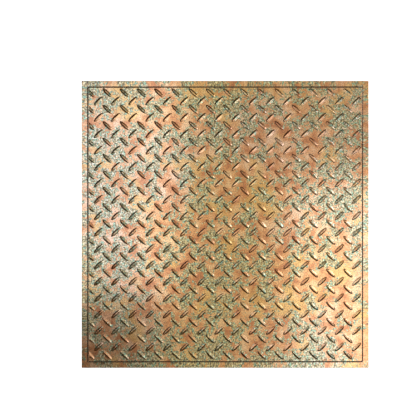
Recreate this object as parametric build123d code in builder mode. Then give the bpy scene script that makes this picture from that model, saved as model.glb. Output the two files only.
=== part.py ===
from build123d import *
import os
from math import atan2, ceil, cos, degrees, floor, radians, sin, tan

# Embossed vinyl lay-in ceiling panel, one formed sheet, in millimetres.
# It lies face up: the back of its flat border is on z = 0 and +Z is the printed face.

# Sheet and flat border
panel_side = 603.25
sheet_thickness = 0.76
border_width = 12.0

# Raised field inside the border
field_rise = 4.0
field_draft = 30.0
field_corner_radius = 5.0
crest_bevel = 0.7
foot_bevel = 0.5

# Tread-plate lugs on the field
lug_length = 26.0
lug_width = 8.0
lug_height = 2.0
lug_ridge = 9.0
lug_pitch_x = 36.1
lug_pitch_y = 34.4
lug_shift_x = 4.9
lug_shift_y = 1.0
smallest_tip = 2.0

# Hollow in the back of each lug, set in from the lug's outline
hollow_end_inset = 1.5
hollow_flank_inset = 0.5

# Levels of the field
field_back = field_rise
field_front = field_rise + sheet_thickness

# Plan of the field: the foot of its drafted wall, the recess behind it and its level part
draft_run = field_rise * tan(radians(field_draft))
wall_inset = sheet_thickness * (1 - sin(radians(field_draft))) / cos(radians(field_draft))
foot_side = panel_side - 2 * border_width
recess_side = foot_side - 2 * wall_inset
level_side = foot_side - 2 * (draft_run + crest_bevel)
level_radius = field_corner_radius / 2
hollow_limit = level_side - 2 * sheet_thickness

# Lugs lie along the two diagonals of their grid cell
lug_angle = degrees(atan2(lug_pitch_y, lug_pitch_x))
hollow_length = lug_length - 2 * hollow_end_inset
hollow_width = lug_width - 2 * hollow_flank_inset
hollow_height = lug_height


def grid_places(length, limit, shift_x, shift_y):
    """Centres of a grid of lugs that reach into a square, the whole ones and the cut ones."""
    reach_x = length / 2 * cos(radians(lug_angle))
    reach_y = length / 2 * sin(radians(lug_angle))
    span_x = limit / 2 + reach_x - smallest_tip
    span_y = limit / 2 + reach_y - smallest_tip
    whole = []
    cut = []
    for i in range(ceil((-span_x - shift_x) / lug_pitch_x), floor((span_x - shift_x) / lug_pitch_x) + 1):
        for j in range(ceil((-span_y - shift_y) / lug_pitch_y), floor((span_y - shift_y) / lug_pitch_y) + 1):
            x = shift_x + i * lug_pitch_x
            y = shift_y + j * lug_pitch_y
            inside = abs(x) + reach_x < limit / 2 and abs(y) + reach_y < limit / 2
            (whole if inside else cut).append((x, y))
    return whole, cut


def lug_places(length, limit, z):
    """Locations of the falling and rising lugs on the level z, the whole ones and the cut ones."""
    falling = grid_places(length, limit, lug_shift_x, lug_shift_y)
    rising = grid_places(length, limit, lug_shift_x - lug_pitch_x / 2, lug_shift_y + lug_pitch_y / 2)
    groups = []
    for down, up in zip(falling, rising):
        places = [Location((x, y, z), (0, 0, -lug_angle)) for x, y in down]
        places += [Location((x, y, z), (0, 0, lug_angle)) for x, y in up]
        groups.append(places)
    return groups


def split_end(tip, flank, crown):
    """Cut the open block along the flat through three points, and keep what lies below it."""
    normal = (flank - tip).cross(crown - tip)
    split(bisect_by=Plane(origin=tip, z_dir=normal if normal.Z > 0 else -normal), keep=Keep.BOTTOM)


def open_level(level, form, places):
    """A level face with a form set into it at each place: the opened face and the form's facets."""
    base, *facets = form.faces().sort_by(Axis.Z)
    holes = level.inner_wires() + [base.outer_wire().moved(place) for place in places]
    return [Face(level.outer_wire(), holes)] + [facet.moved(place) for place in places for facet in facets]


whole_lugs, cut_lugs = lug_places(lug_length, level_side, field_front)
whole_hollows, cut_hollows = lug_places(hollow_length, hollow_limit, field_back)

# One lug: a level ridge that falls to a point at each end
with BuildPart() as lug:
    with BuildSketch(Plane.YZ.offset(-lug_length / 2)):
        Polygon((-lug_width / 2, 0), (lug_width / 2, 0), (0, lug_height), align=None)
    extrude(amount=lug_length)
    for end in (-1, 1):
        for side in (-1, 1):
            split_end(
                Vector(end * lug_length / 2, 0, 0),
                Vector(end * lug_ridge / 2, side * lug_width / 2, 0),
                Vector(end * lug_ridge / 2, 0, lug_height),
            )

# One hollow: four flats that meet below the middle of the ridge
with BuildPart() as hollow:
    with BuildSketch(Plane.YZ.offset(-hollow_length / 2)):
        Rectangle(hollow_width, hollow_height, align=(Align.CENTER, Align.MIN))
    extrude(amount=hollow_length)
    for end in (-1, 1):
        for side in (-1, 1):
            split_end(
                Vector(end * hollow_length / 2, 0, 0),
                Vector(0, side * hollow_width / 2, 0),
                Vector(0, 0, hollow_height),
            )

# Lugs and hollows that run out at the edge of the field
with BuildPart() as edge_lugs:
    with Locations(*cut_lugs):
        add(lug.part)
    with BuildSketch(Plane.XY.offset(field_front)):
        RectangleRounded(level_side, level_side, level_radius)
    extrude(amount=2 * lug_height, mode=Mode.INTERSECT)

with BuildPart() as edge_hollows:
    with Locations(*cut_hollows):
        add(hollow.part)
    with BuildSketch(Plane.XY.offset(field_back)):
        RectangleRounded(hollow_limit, hollow_limit, level_radius)
    extrude(amount=2 * hollow_height, mode=Mode.INTERSECT)

# The formed tray: flat border, drafted wall with bevelled bends, level field and its edge lugs
with BuildPart() as tray:
    with BuildSketch():
        Rectangle(panel_side, panel_side)
    extrude(amount=sheet_thickness)
    with BuildSketch(Plane.XY.offset(sheet_thickness)):
        RectangleRounded(foot_side, foot_side, field_corner_radius)
    extrude(amount=field_rise, taper=field_draft)
    with BuildSketch():
        RectangleRounded(recess_side, recess_side, field_corner_radius - wall_inset)
    extrude(amount=field_rise, taper=field_draft, mode=Mode.SUBTRACT)
    sole, ledge, roof, front = tray.faces().filter_by(Plane.XY).sort_by(Axis.Z)
    chamfer(front.edges(), crest_bevel)
    chamfer(ledge.inner_wires()[0].edges(), foot_bevel)
    add(edge_lugs.part, clean=False)
    add(edge_hollows.part, mode=Mode.SUBTRACT, clean=False)

# The panel: the tray's two level faces are opened at each whole lug, for the lug's facets to fill
levels = tray.faces().filter_by(Plane.XY).sort_by(SortBy.AREA)[-4:].sort_by(Axis.Z)
field_faces = levels[2:]
skin = [face for face in tray.faces() if not any(face.is_same(level) for level in field_faces)]
skin += open_level(field_faces[0], hollow, whole_hollows)
skin += open_level(field_faces[1], lug, whole_lugs)

with BuildPart() as ceiling_panel:
    add(Solid(Shell(skin)), clean=False)

ceiling_panel.part.label = "ceiling_panel"

os.makedirs("parts", exist_ok=True)
export_step(ceiling_panel.part, "parts/ceiling_panel.step", write_pcurves=False)
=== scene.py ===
import math
from collections import namedtuple
import bpy
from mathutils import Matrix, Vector
from mathutils.geometry import delaunay_2d_cdt


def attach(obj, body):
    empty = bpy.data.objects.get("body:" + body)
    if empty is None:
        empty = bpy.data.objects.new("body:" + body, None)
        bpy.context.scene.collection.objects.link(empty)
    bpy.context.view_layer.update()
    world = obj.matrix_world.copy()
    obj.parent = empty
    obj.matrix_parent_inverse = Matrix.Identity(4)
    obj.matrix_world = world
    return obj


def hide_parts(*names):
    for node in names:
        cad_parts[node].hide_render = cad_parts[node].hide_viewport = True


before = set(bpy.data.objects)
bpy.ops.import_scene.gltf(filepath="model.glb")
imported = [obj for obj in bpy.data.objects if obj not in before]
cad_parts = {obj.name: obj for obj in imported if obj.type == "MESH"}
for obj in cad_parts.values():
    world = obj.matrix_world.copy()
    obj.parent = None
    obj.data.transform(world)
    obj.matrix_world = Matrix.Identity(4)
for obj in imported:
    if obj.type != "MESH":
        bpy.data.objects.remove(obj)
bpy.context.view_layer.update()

# Sizes that the part's source has too, in millimetres
PANEL_SIDE = 603.25
SHEET = 0.76
BORDER = 12.0
FIELD_RISE = 4.0
DRAFT = math.radians(30.0)
CREST_BEVEL = 0.7
LUG_LENGTH = 26.0
LUG_HEIGHT = 2.0
PITCH_X = 36.1
PITCH_Y = 34.4
SHIFT_X = 4.9
SHIFT_Y = 1.0
SMALLEST_TIP = 2.0
HOLLOW_END = 1.5
HOLLOW_FLANK = 0.5

# Softer forms than the source's flats: round bends, and lens-shaped lugs 0.4 mm wider with a soft crest
CREST_RADIUS = 0.9
FOOT_RADIUS = 0.5
LEVEL_CORNER = 2.0
EDGE_BEVEL = 0.12
LUG_WIDTH = 8.4
CREST_SHARE = 0.07
BEND_SOFT = 0.04
END_POWER = 5
RUN_OUT = 0.6

# Steps and flat margins of the mesh
GRID_REACH = 10
SPAN_STEPS = 80
EDGE_HALF_STEPS = 12
CORNER_STEPS = 6
BEND_STEPS = 3
SUPPORT = 0.3
EDGE_SUPPORT = 0.6
MARGIN = 0.2
TIP_MARGIN = 1.6 * MARGIN
CUT_MARGIN = 3 * MARGIN

# Levels and plan that follow from the sizes
Z_FLANGE = SHEET
Z_FRONT = FIELD_RISE + SHEET
Z_BACK = FIELD_RISE
WALL_TILT = math.pi / 2 - DRAFT
LEVEL_HALF = PANEL_SIDE / 2 - BORDER - FIELD_RISE * math.tan(DRAFT) - CREST_BEVEL
ANGLE = math.atan2(PITCH_Y, PITCH_X)

# A lug on the front and a hollow on the back: size, steps along it and lines across it
LugForm = namedtuple("LugForm", "length width stations columns")
LUG = LugForm(
    LUG_LENGTH,
    LUG_WIDTH,
    10,
    (-1.0, -0.96, -0.55, -0.15, -0.04, 0.04, 0.15, 0.55, 0.96, 1.0),
)
HOLLOW = LugForm(
    LUG_LENGTH - 2 * HOLLOW_END,
    LUG_WIDTH - 2 * HOLLOW_FLANK,
    6,
    (-1.0, -0.62, 0.0, 0.62, 1.0),
)


# Lugs

def half_width(u, width):
    """Half the width of a lens-shaped lug at u, from -1 at one tip to 1 at the other."""
    return width / 2 * math.sqrt(max(1.0 - u * u, 0.0))


def soft_step(x):
    """x above 0 and 0 below it, with a softened bend."""
    return BEND_SOFT * math.log1p(math.exp(x / BEND_SOFT))


def rise(u, t):
    """Height of a lug as a share of its crest, at u along it and t across it."""
    ramp_up = (1.0 - abs(t)) / (1.0 - CREST_SHARE)
    side = ramp_up - soft_step(ramp_up - 1.0)
    return side * (1.0 - abs(u) ** END_POWER)


def lug_grid(length, limit):
    """Centres and turns of the lugs that reach into a square field."""
    span_x = limit - SMALLEST_TIP + length / 2 * math.cos(ANGLE)
    span_y = limit - SMALLEST_TIP + length / 2 * math.sin(ANGLE)
    steps = range(-GRID_REACH, GRID_REACH + 1)
    falling = (-ANGLE, SHIFT_X, SHIFT_Y)
    rising = (ANGLE, SHIFT_X - PITCH_X / 2, SHIFT_Y + PITCH_Y / 2)
    lugs = []
    for turn, start_x, start_y in (falling, rising):
        for i in steps:
            for j in steps:
                x = start_x + i * PITCH_X
                y = start_y + j * PITCH_Y
                if abs(x) < span_x and abs(y) < span_y:
                    lugs.append((x, y, turn))
    return lugs


def place(lug, s, d):
    """A point of a lug, s along it and d across it, on the field."""
    x, y, turn = lug
    return x + s * math.cos(turn) - d * math.sin(turn), y + s * math.sin(turn) + d * math.cos(turn)


def line_span(lug, form, t, limit):
    """The two ends of a line along a lug, t across it, as far as it lies inside a square field."""
    inside = []
    for k in range(-SPAN_STEPS, SPAN_STEPS + 1):
        u = k / SPAN_STEPS
        x, y = place(lug, u * form.length / 2, t * half_width(u, form.width))
        if max(abs(x), abs(y), abs(x) + abs(y) - limit + LEVEL_CORNER) < limit:
            inside.append(u)
    return (inside[0], inside[-1]) if inside else (0.0, 0.0)


class Sheet:
    """Vertices and faces of the panel's mesh as they are added, in millimetres."""

    def __init__(self):
        self.verts = []
        self.faces = []

    def add(self, x, y, z):
        self.verts.append((x / 1000, y / 1000, z / 1000))
        return len(self.verts) - 1

    def face(self, corners, flip):
        corners = list(dict.fromkeys(corners))
        self.faces.append(tuple(reversed(corners)) if flip else tuple(corners))


def lug_patch(sheet, lug, form, level, limit, flip):
    """One lug or hollow with a flat margin around it. Returns the outer loop of its vertices."""
    half_length = form.length / 2
    spans = [line_span(lug, form, t, limit - CUT_MARGIN) for t in form.columns]
    if min(high - low for low, high in spans) * half_length < SMALLEST_TIP:
        return None
    rows = []
    for k in range(form.stations + 1):
        along = -math.cos(math.pi * k / form.stations)
        row = []
        for t, (low, high) in zip(form.columns, spans):
            u = (low + high) / 2 + along * (high - low) / 2
            wide = half_width(u, form.width)
            if wide == 0.0 and row:
                row.append(row[0])
                continue
            to_cut = min(u - low if low > -1 else 2.0, high - u if high < 1 else 2.0)
            fade = min(to_cut * half_length / RUN_OUT, 1.0)
            x, y = place(lug, u * half_length, t * wide)
            top = sheet.add(x, y, level + LUG_HEIGHT * fade * rise(u, t))
            row.append((top, u * half_length + TIP_MARGIN * along, t * (wide + MARGIN) if wide else 0.0))
        rows.append(row)
    for a, b in zip(rows, rows[1:]):
        for k in range(len(form.columns) - 1):
            sheet.face((a[k][0], b[k][0], b[k + 1][0], a[k + 1][0]), flip)
    near_side = [row[0] for row in rows]
    far_side = [row[-1] for row in reversed(rows)]
    around = near_side + rows[-1][1:-1] + far_side + rows[0][-2:0:-1]
    around = [spot for k, spot in enumerate(around) if spot != around[k - 1]]
    ring = [sheet.add(*place(lug, s, d), level) for top, s, d in around]
    for k in range(len(around)):
        sheet.face((ring[k - 1], ring[k], around[k][0], around[k - 1][0]), flip)
    return ring


# Edge of the field, from the level part over the bent wall to the cut edge and round to the back

def edge_loop():
    """Points around the level field as a point, an outward direction and the corner's centre if any."""
    straight = LEVEL_HALF - LEVEL_CORNER
    loop = []
    for side in range(4):
        turn = side * math.pi / 2
        c, s = round(math.cos(turn)), round(math.sin(turn))
        for k in range(2 * EDGE_HALF_STEPS + 1):
            m = straight * (k / EDGE_HALF_STEPS - 1)
            loop.append((LEVEL_HALF * c - m * s, LEVEL_HALF * s + m * c, c, s, None))
        cx, cy = straight * (c - s), straight * (s + c)
        for k in range(1, CORNER_STEPS):
            a = turn + math.pi / 2 * k / CORNER_STEPS
            nx, ny = math.cos(a), math.sin(a)
            loop.append((cx + LEVEL_CORNER * nx, cy + LEVEL_CORNER * ny, nx, ny, (cx, cy)))
    return loop


def on_square(point, half):
    """An edge point carried out to a sharp-cornered square."""
    x, y, nx, ny, corner = point
    if corner is None:
        return (math.copysign(half, nx), y) if abs(nx) > 0.5 else (x, math.copysign(half, ny))
    cx, cy = corner
    k = min((half - abs(cx)) / abs(nx), (half - abs(cy)) / abs(ny))
    return cx + k * nx, cy + k * ny


def edge_rings(sheet, loop):
    """Rings of quads around the field. Returns the inner front ring and the inner back ring."""
    half = PANEL_SIDE / 2
    crest_z = Z_FRONT - CREST_RADIUS
    drop = Z_FRONT - Z_FLANGE - (CREST_RADIUS + FOOT_RADIUS) * (1 - math.cos(WALL_TILT))
    foot_d = (CREST_RADIUS + FOOT_RADIUS) * math.sin(WALL_TILT) + drop / math.tan(WALL_TILT)
    foot_z = Z_FLANGE + FOOT_RADIUS
    bends = [WALL_TILT * k / BEND_STEPS for k in range(BEND_STEPS + 1)]
    back_crest_bends = (bends[-1], bends[1], bends[0])

    def crest(radius, a):
        return "off", radius * math.sin(a), crest_z + radius * math.cos(a)

    def foot(radius, a):
        return "off", foot_d - radius * math.sin(a), foot_z - radius * math.cos(a)

    rings = [("off", -SUPPORT, Z_FRONT)]
    rings += [crest(CREST_RADIUS, a) for a in bends]
    rings += [foot(FOOT_RADIUS, a) for a in reversed(bends)]
    rings += [
        ("off", foot_d + SUPPORT, Z_FLANGE),
        ("square", half - EDGE_SUPPORT, Z_FLANGE),
        ("square", half - EDGE_BEVEL, Z_FLANGE),
        ("square", half, Z_FLANGE - EDGE_BEVEL),
        ("square", half, EDGE_BEVEL),
        ("square", half - EDGE_BEVEL, 0.0),
        ("square", half - EDGE_SUPPORT, 0.0),
        ("off", foot_d + SUPPORT, 0.0),
    ]
    rings += [foot(FOOT_RADIUS + SHEET, a) for a in bends]
    rings += [crest(CREST_RADIUS - SHEET, a) for a in back_crest_bends]
    rings += [("off", -SUPPORT, Z_BACK)]

    made = []
    for kind, distance, z in rings:
        ring = []
        for point in loop:
            if kind == "square":
                x, y = on_square(point, distance)
            else:
                x, y = point[0] + distance * point[2], point[1] + distance * point[3]
            ring.append(sheet.add(x, y, z))
        made.append(ring)
    count = len(loop)
    for a, b in zip(made, made[1:]):
        for k in range(count):
            n = (k + 1) % count
            sheet.face((a[k], b[k], b[n], a[n]), False)
    return made[0], made[-1]


def fill_level(sheet, rim, loops, level, flip):
    """Triangles of a level face between its rim and the loops of the lugs set into it.

    A triangle on one lug's loop alone lies inside that loop, and is left out, where its corners
    follow the loop's order.
    """
    index = []
    owner = []
    edges = []
    for number, loop in enumerate([rim] + loops):
        first = len(index)
        index += loop
        owner += [number] * len(loop)
        edges += [(first + k, first + (k + 1) % len(loop)) for k in range(len(loop))]
    points = [Vector((sheet.verts[i][0] * 1000, sheet.verts[i][1] * 1000)) for i in index]
    result = delaunay_2d_cdt(points, edges, [], 0, 1e-4)
    origin = [sources[0] for sources in result[3]]
    for tri in result[2]:
        a, b, c = [origin[k] for k in tri]
        one_lug = owner[a] == owner[b] == owner[c] > 0
        in_order = a < b < c or b < c < a or c < a < b
        if not (one_lug and in_order):
            sheet.face((index[a], index[b], index[c]), flip)


def build_panel():
    """The whole formed sheet as one closed mesh."""
    sheet = Sheet()
    front_rim, back_rim = edge_rings(sheet, edge_loop())
    front = (LUG, front_rim, Z_FRONT, LEVEL_HALF - SUPPORT, False)
    back = (HOLLOW, back_rim, Z_BACK, LEVEL_HALF - SHEET, True)
    for form, rim, level, limit, flip in (front, back):
        loops = [lug_patch(sheet, lug, form, level, limit, flip) for lug in lug_grid(form.length, limit)]
        fill_level(sheet, rim, [loop for loop in loops if loop], level, flip)
    mesh = bpy.data.meshes.new("panel_sheet")
    mesh.from_pydata(sheet.verts, [], sheet.faces)
    mesh.validate()
    mesh.shade_smooth()
    made = bpy.data.objects.new("panel_sheet", mesh)
    bpy.context.scene.collection.objects.link(made)
    return made


panel = build_panel()


# Material

# Film drawn out across the border: where that starts, and the share of the print's place kept there
STRETCH_START = (LEVEL_HALF + 1.0) / 1000
STRETCH_SHARE = 0.6

# Painted shade in the step around the field, a dark colour laid on the wall where it falls into shade: its
# colour and share, and where it fades in and out, in metres from the level field
STEP_SHADE_COLOUR = (0.06, 0.030, 0.010)
STEP_SHADE_SHARE = 0.8
STEP_SHADE_IN = (0.0002, 0.0007)
STEP_SHADE_OUT = (0.0031, 0.0038)


def material(name):
    """A new node material, its node tree and its shader."""
    made = bpy.data.materials.new(name)
    made.use_nodes = True
    return made, made.node_tree, made.node_tree.nodes["Principled BSDF"]


def node(tree, kind, **values):
    """A new node with its properties set."""
    made = tree.nodes.new(kind)
    for key, value in values.items():
        setattr(made, key, value)
    return made


def feed(tree, socket, value):
    """Set a socket to a number or a colour, or link it to another socket."""
    if isinstance(value, (int, float)):
        socket.default_value = value
    elif isinstance(value, tuple):
        socket.default_value = (*value, 1.0)
    else:
        tree.links.new(value, socket)


def math_node(tree, operation, *values):
    """A math node on sockets or numbers. Returns its output."""
    made = node(tree, "ShaderNodeMath", operation=operation)
    for socket, value in zip(made.inputs, values):
        feed(tree, socket, value)
    return made.outputs[0]


def noise(tree, vector, offset, scale, detail, roughness, distortion=0.0):
    """Noise on the panel's plane, moved by an offset. Returns its value."""
    moved = node(tree, "ShaderNodeVectorMath", operation="ADD")
    tree.links.new(vector, moved.inputs[0])
    moved.inputs[1].default_value = (*offset, 0.0)
    made = node(tree, "ShaderNodeTexNoise", noise_dimensions="2D")
    tree.links.new(moved.outputs[0], made.inputs["Vector"])
    made.inputs["Scale"].default_value = scale
    made.inputs["Detail"].default_value = detail
    made.inputs["Roughness"].default_value = roughness
    made.inputs["Distortion"].default_value = distortion
    return made.outputs["Fac"]


def ramp(tree, value, stops):
    """A colour ramp on a value. Returns its colour."""
    made = node(tree, "ShaderNodeValToRGB")
    tree.links.new(value, made.inputs[0])
    keys = made.color_ramp.elements
    keys[0].position, keys[0].color = stops[0][0], (*stops[0][1], 1.0)
    keys[1].position, keys[1].color = stops[-1][0], (*stops[-1][1], 1.0)
    for position, colour in stops[1:-1]:
        key = keys.new(position)
        key.color = (*colour, 1.0)
    return made.outputs[0]


def spread(tree, value, low, high, to_low=0.0, to_high=1.0):
    """A value carried smoothly from one range to another. Returns the result."""
    made = node(tree, "ShaderNodeMapRange", interpolation_type="SMOOTHSTEP")
    tree.links.new(value, made.inputs["Value"])
    made.inputs["From Min"].default_value = low
    made.inputs["From Max"].default_value = high
    made.inputs["To Min"].default_value = to_low
    made.inputs["To Max"].default_value = to_high
    return made.outputs[0]


def blend_colour(tree, share, a, b, mode="MIX"):
    """Two colours mixed by a share. Returns the colour."""
    made = node(tree, "ShaderNodeMix", data_type="RGBA", blend_type=mode)
    for socket, value in ((made.inputs[0], share), (made.inputs[6], a), (made.inputs[7], b)):
        feed(tree, socket, value)
    return made.outputs[2]


def split_place(tree, kind):
    """The x, y and z sockets of one kind of texture coordinate."""
    source = node(tree, "ShaderNodeTexCoord")
    parts = node(tree, "ShaderNodeSeparateXYZ")
    tree.links.new(source.outputs[kind], parts.inputs[0])
    return parts.outputs


def print_plane(tree):
    """Place of the print on the sheet: drawn out across the border, where the film was stretched."""
    parts = split_place(tree, "Object")
    joined = node(tree, "ShaderNodeCombineXYZ")
    for k in range(2):
        below = math_node(tree, "MINIMUM", parts[k], STRETCH_START)
        inner = math_node(tree, "MAXIMUM", below, -STRETCH_START)
        beyond = math_node(tree, "SUBTRACT", parts[k], inner)
        drawn = math_node(tree, "MULTIPLY", beyond, STRETCH_SHARE)
        tree.links.new(math_node(tree, "ADD", inner, drawn), joined.inputs[k])
    return joined.outputs[0]


def step_painted_shade_share(tree):
    """Share of painted shade, a dark colour standing in for the shade on the step's wall around the field,
    by the place on the sheet.
    """
    parts = split_place(tree, "Object")
    far_x = math_node(tree, "ABSOLUTE", parts[0])
    far_y = math_node(tree, "ABSOLUTE", parts[1])
    reach = math_node(tree, "MAXIMUM", far_x, far_y)
    start_in, end_in = [LEVEL_HALF / 1000 + d for d in STEP_SHADE_IN]
    start_out, end_out = [LEVEL_HALF / 1000 + d for d in STEP_SHADE_OUT]
    inner = spread(tree, reach, start_in, end_in, 0.0, STEP_SHADE_SHARE)
    outer = spread(tree, reach, start_out, end_out, 1.0, 0.0)
    return math_node(tree, "MULTIPLY", inner, outer)


def copper_print():
    """Satin film printed as aged copper: warm mottled metal under patches of speckled green patina."""
    made, tree, shader = material("copper_print_vinyl")
    plane = print_plane(tree)
    warmth = noise(tree, plane, (45.63, 32.97), 4.0, 1.0, 0.5)
    bare = noise(tree, plane, (14.98, 56.64), 5.0, 1.0, 0.5)
    broad = noise(tree, plane, (3.1, 1.7), 14.0, 2.0, 0.5)
    tone = noise(tree, plane, (7.3, 2.9), 34.0, 3.0, 0.6, 0.3)
    patch = noise(tree, plane, (0.4, 5.2), 30.0, 4.0, 0.7, 0.3)
    speck = noise(tree, plane, (1.9, 8.8), 240.0, 2.0, 0.6)
    fleck = noise(tree, plane, (6.2, 3.4), 200.0, 1.0, 0.5)
    grain = noise(tree, plane, (4.6, 0.3), 380.0, 1.0, 0.6)

    # Mottled copper with brassy clouds
    copper = ramp(tree, tone, (
        (0.34, (0.51, 0.180, 0.040)),
        (0.45, (0.64, 0.280, 0.085)),
        (0.54, (0.71, 0.360, 0.140)),
        (0.66, (0.80, 0.490, 0.250)),
    ))
    brassy = spread(tree, broad, 0.54, 0.68, 0.0, 0.6)
    copper = blend_colour(tree, brassy, copper, (0.73, 0.46, 0.12))

    # Speckled patina, and the mask of where it covers the copper
    patina = ramp(tree, speck, (
        (0.30, (0.12, 0.075, 0.015)),
        (0.40, (0.30, 0.220, 0.065)),
        (0.50, (0.45, 0.350, 0.150)),
        (0.60, (0.56, 0.465, 0.245)),
        (0.70, (0.75, 0.640, 0.390)),
    ))
    cover = math_node(tree, "ADD", patch, math_node(tree, "MULTIPLY", fleck, 0.2))
    cover = math_node(tree, "SUBTRACT", cover, math_node(tree, "MULTIPLY", bare, 0.3))
    mask = spread(tree, cover, 0.41, 0.50)
    colour = blend_colour(tree, mask, copper, patina)

    # Broad cool and warm zones, teal flecks in the patina, and painted shade on the step's wall
    tint = blend_colour(tree, spread(tree, warmth, 0.32, 0.66), (1.0, 1.03, 1.16), (1.0, 0.98, 0.74))
    colour = blend_colour(tree, 1.0, colour, tint, "MULTIPLY")
    teal = math_node(tree, "MULTIPLY", mask, spread(tree, fleck, 0.58, 0.66, 0.0, 0.85))
    colour = blend_colour(tree, teal, colour, (0.22, 0.40, 0.24))
    # Painted shade: the step's wall is darkened in the colour itself, standing in for shade
    colour = blend_colour(tree, step_painted_shade_share(tree), colour, STEP_SHADE_COLOUR)

    # Fine grain in the ink, stronger on the patina
    depth = spread(tree, mask, 0.0, 1.0, 0.5, 1.25)
    shade = math_node(tree, "MULTIPLY", spread(tree, grain, 0.3, 0.7, -0.5, 0.5), depth)
    grainy = node(tree, "ShaderNodeVectorMath", operation="SCALE")
    tree.links.new(colour, grainy.inputs[0])
    tree.links.new(math_node(tree, "ADD", shade, 1.0), grainy.inputs["Scale"])
    tree.links.new(grainy.outputs[0], shader.inputs["Base Color"])

    # Satin metal ink under a clear film
    tree.links.new(spread(tree, mask, 0.0, 1.0, 0.24, 0.28), shader.inputs["Roughness"])
    shader.inputs["Metallic"].default_value = 0.96
    shader.inputs["Coat Weight"].default_value = 1.0
    shader.inputs["Coat Roughness"].default_value = 0.22
    shader.inputs["Coat IOR"].default_value = 1.75
    bump = node(tree, "ShaderNodeBump")
    bump.inputs["Strength"].default_value = 0.15
    bump.inputs["Distance"].default_value = 0.0002
    tree.links.new(speck, bump.inputs["Height"])
    tree.links.new(bump.outputs[0], shader.inputs["Normal"])
    return made


panel.data.materials.append(copper_print())
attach(panel, "root")
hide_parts("ceiling_panel")


# Floor

FLOOR_HALF = 4.0
FLOOR_Z = -0.0003


def pale_floor():
    """White floor that stays plain white to the camera and in reflections."""
    made, tree, shader = material("pale_floor")
    shader.inputs["Base Color"].default_value = (0.86, 0.86, 0.86, 1.0)
    shader.inputs["Roughness"].default_value = 0.9
    path = node(tree, "ShaderNodeLightPath")
    seen = math_node(tree, "MAXIMUM", path.outputs["Is Camera Ray"], path.outputs["Is Glossy Ray"])
    seen = math_node(tree, "MAXIMUM", seen, path.outputs["Is Transmission Ray"])
    glow = node(tree, "ShaderNodeEmission")
    tree.links.new(seen, glow.inputs["Strength"])
    both = node(tree, "ShaderNodeAddShader")
    tree.links.new(shader.outputs[0], both.inputs[0])
    tree.links.new(glow.outputs[0], both.inputs[1])
    tree.links.new(both.outputs[0], tree.nodes["Material Output"].inputs["Surface"])
    return made


floor_corners = [(x * FLOOR_HALF, y * FLOOR_HALF, FLOOR_Z) for x, y in ((-1, -1), (1, -1), (1, 1), (-1, 1))]
floor_mesh = bpy.data.meshes.new("floor")
floor_mesh.from_pydata(floor_corners, [], [(0, 1, 2, 3)])
floor = bpy.data.objects.new("floor", floor_mesh)
floor.data.materials.append(pale_floor())
bpy.context.scene.collection.objects.link(floor)


# Light

WARM_WHITE = (1.0, 0.97, 0.92)
COOL_WHITE = (0.92, 1.0, 1.28)


def soft_box(name, place_at, size, power, colour):
    """A soft box that hangs level over the panel and shines straight down."""
    data = bpy.data.lights.new(name, "AREA")
    data.shape = "RECTANGLE"
    data.size, data.size_y = size
    data.energy = power
    data.color = colour
    lamp = bpy.data.objects.new(name, data)
    lamp.location = place_at
    lamp.visible_camera = False
    bpy.context.scene.collection.objects.link(lamp)


soft_box("overhead", (0.29, 0.10, 0.63), (0.94, 1.45), 2.9, WARM_WHITE)
soft_box("key", (1.05, 0.52, 0.60), (0.59, 0.42), 3.3, COOL_WHITE)
soft_box("sheen_right", (0.63, -0.22, 0.61), (0.90, 0.64), 2.1, COOL_WHITE)
soft_box("sheen_left", (-0.32, 0.11, 0.62), (0.40, 0.59), 1.05, COOL_WHITE)
soft_box("fill_corner", (-0.37, -0.38, 0.64), (0.36, 0.42), 0.10, WARM_WHITE)

# Surroundings: a pale band near the horizon that fades to a dim warm room above
BAND_FADE = (0.12, 0.34)
BAND_COLOUR = (1.0, 0.98, 0.94)
BAND_STRENGTH = 0.7
ROOM_COLOUR = (1.0, 0.6, 0.25)
ROOM_STRENGTH = 0.04
world = bpy.data.worlds.new("studio")
world.use_nodes = True
sky = world.node_tree
height = split_place(sky, "Generated")[2]
low_share = spread(sky, height, *BAND_FADE, 1.0, 0.0)
strength = spread(sky, height, *BAND_FADE, BAND_STRENGTH, ROOM_STRENGTH)
background = sky.nodes["Background"]
sky.links.new(blend_colour(sky, low_share, ROOM_COLOUR, BAND_COLOUR), background.inputs["Color"])
sky.links.new(strength, background.inputs["Strength"])
bpy.context.scene.world = world

# Camera: straight down over the middle of the photograph's frame
# The frame's width is taken near the level of the field
FRAME_WIDTH = 0.8396
FRAME_LEVEL = 0.004
FRAME_CENTRE = (-0.05285, 0.05125)
CAMERA_HEIGHT = 3.0
SENSOR_WIDTH = 36.0
camera_data = bpy.data.cameras.new("camera")
camera_data.sensor_width = SENSOR_WIDTH
camera_data.lens = SENSOR_WIDTH * (CAMERA_HEIGHT - FRAME_LEVEL) / FRAME_WIDTH
camera = bpy.data.objects.new("camera", camera_data)
camera.location = (*FRAME_CENTRE, CAMERA_HEIGHT)
bpy.context.scene.collection.objects.link(camera)
bpy.context.scene.camera = camera

bpy.context.scene.view_settings.view_transform = "Standard"
